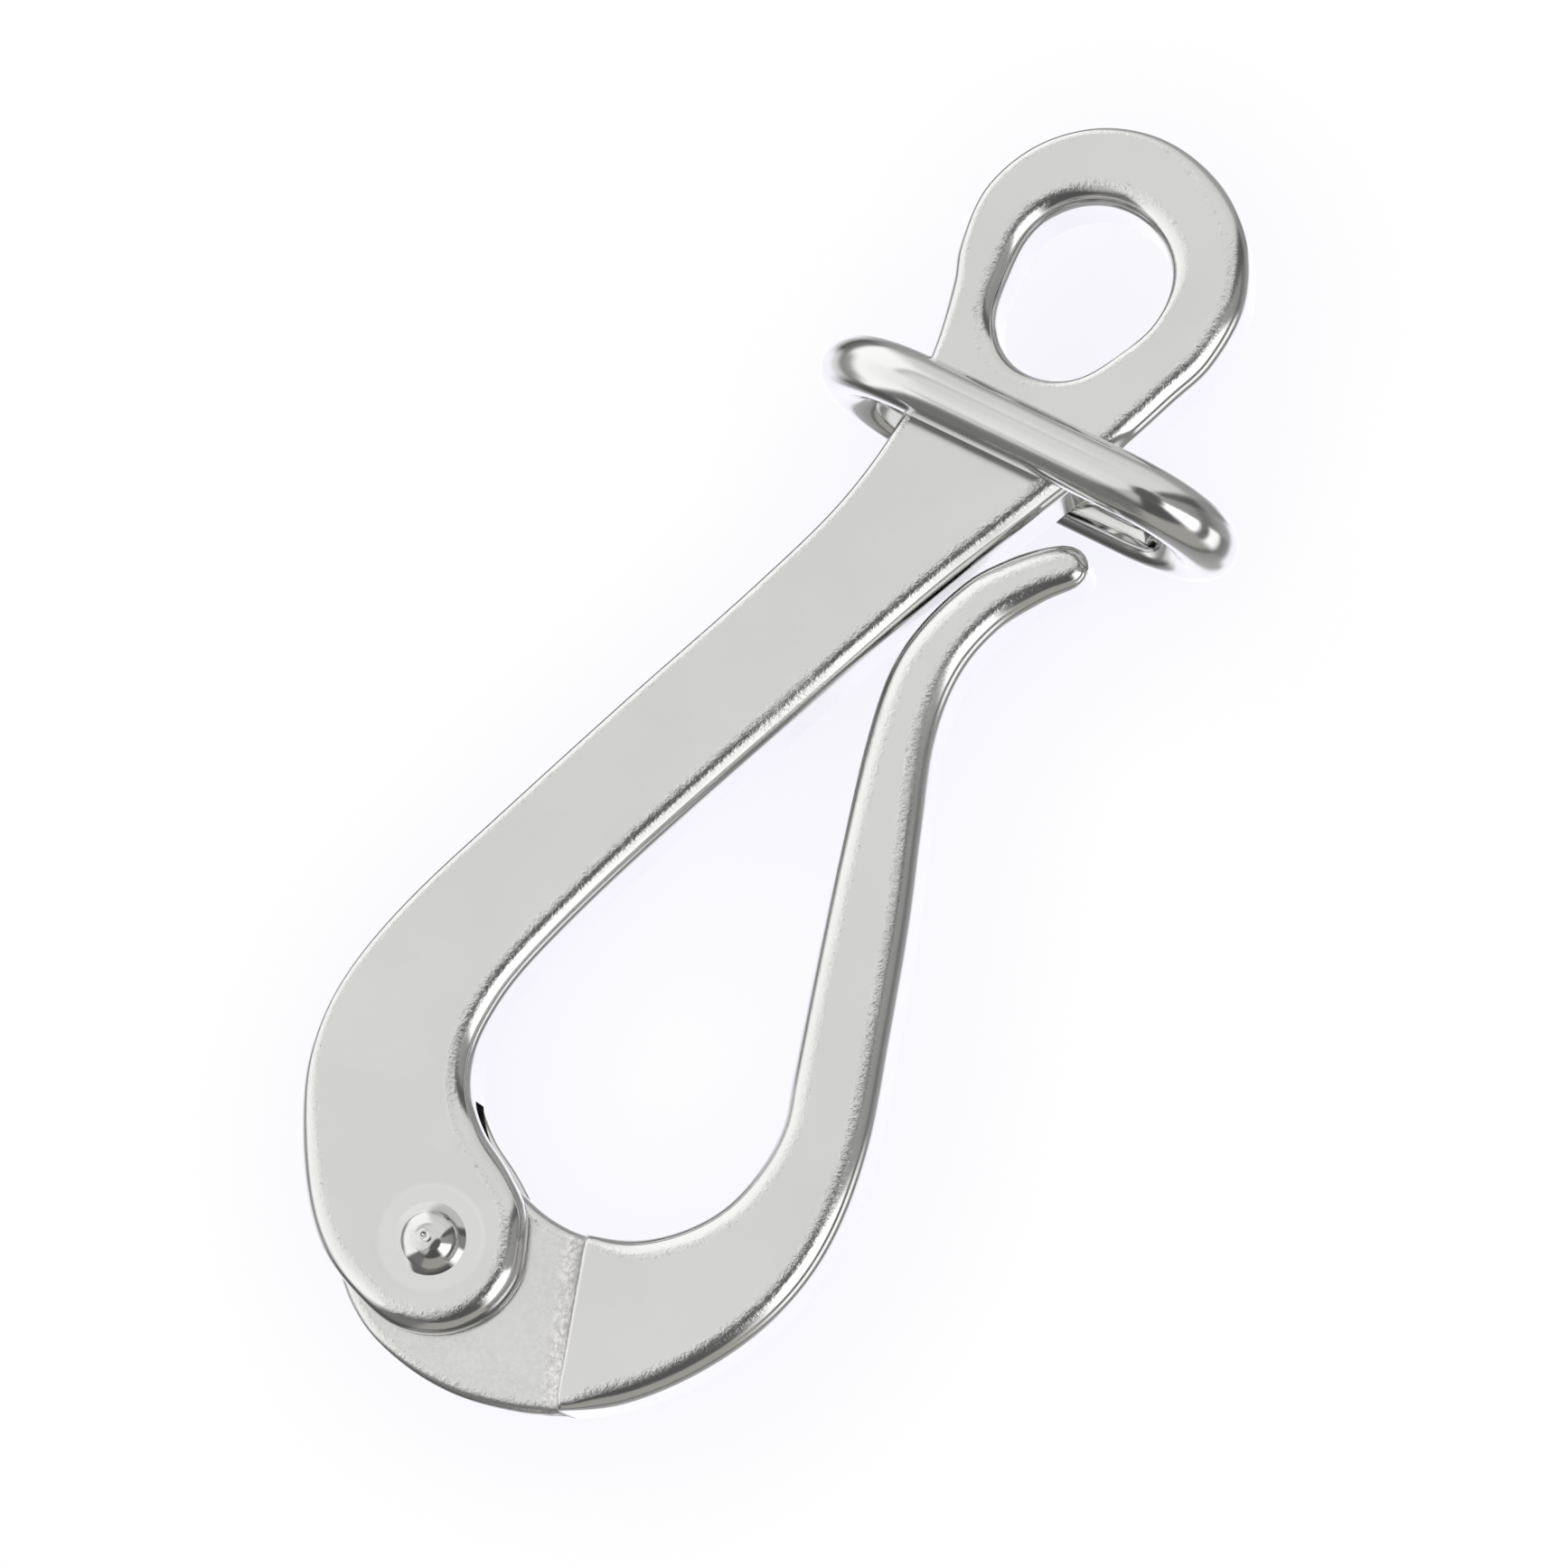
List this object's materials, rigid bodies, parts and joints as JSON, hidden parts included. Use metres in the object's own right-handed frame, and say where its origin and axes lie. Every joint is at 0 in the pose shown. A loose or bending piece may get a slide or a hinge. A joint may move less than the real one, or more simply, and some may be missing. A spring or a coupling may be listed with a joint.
{
  "type": "pelican hook",
  "caption": "Stainless pelican hook: a flat shank with an egg-shaped eye, a curved arm on a riveted fork pivot, and an oblong lock ring that slides over both.",
  "frame": {"origin": "middle of the eye's hole, halfway through the plate's thickness", "axes": "+Y runs up the hook from the pivot end to the eye end, +X points to the side of the opening arm, +Z is square to the flat plate"},
  "size_m": [0.0425, 0.1022, 0.0168],
  "materials": {
    "polished_shank": "polished cast stainless steel",
    "polished_arm": "polished cast stainless steel, grainy at the step",
    "polished_rivet": "polished stainless steel",
    "polished_ring": "polished drawn stainless wire"
  },
  "bodies": {
    "shank": {"shank_body": "polished_shank", "pivot_rivet": "polished_rivet"},
    "arm": {"hook_arm": "polished_arm"},
    "ring": {"lock_ring": "polished_ring"}
  },
  "joints": [
    {"name": "arm_pivot", "type": "hinge", "parent": "shank", "child": "arm", "pos_m": [-0.0098, -0.0803, 0], "axis": [0, 0, -1], "range_deg": [0, 115]},
    {"name": "ring_slide", "type": "slide", "parent": "shank", "child": "ring", "axis": [0.2079, 0.9781, 0], "range_m": [-0.024, 0.002]}
  ]
}
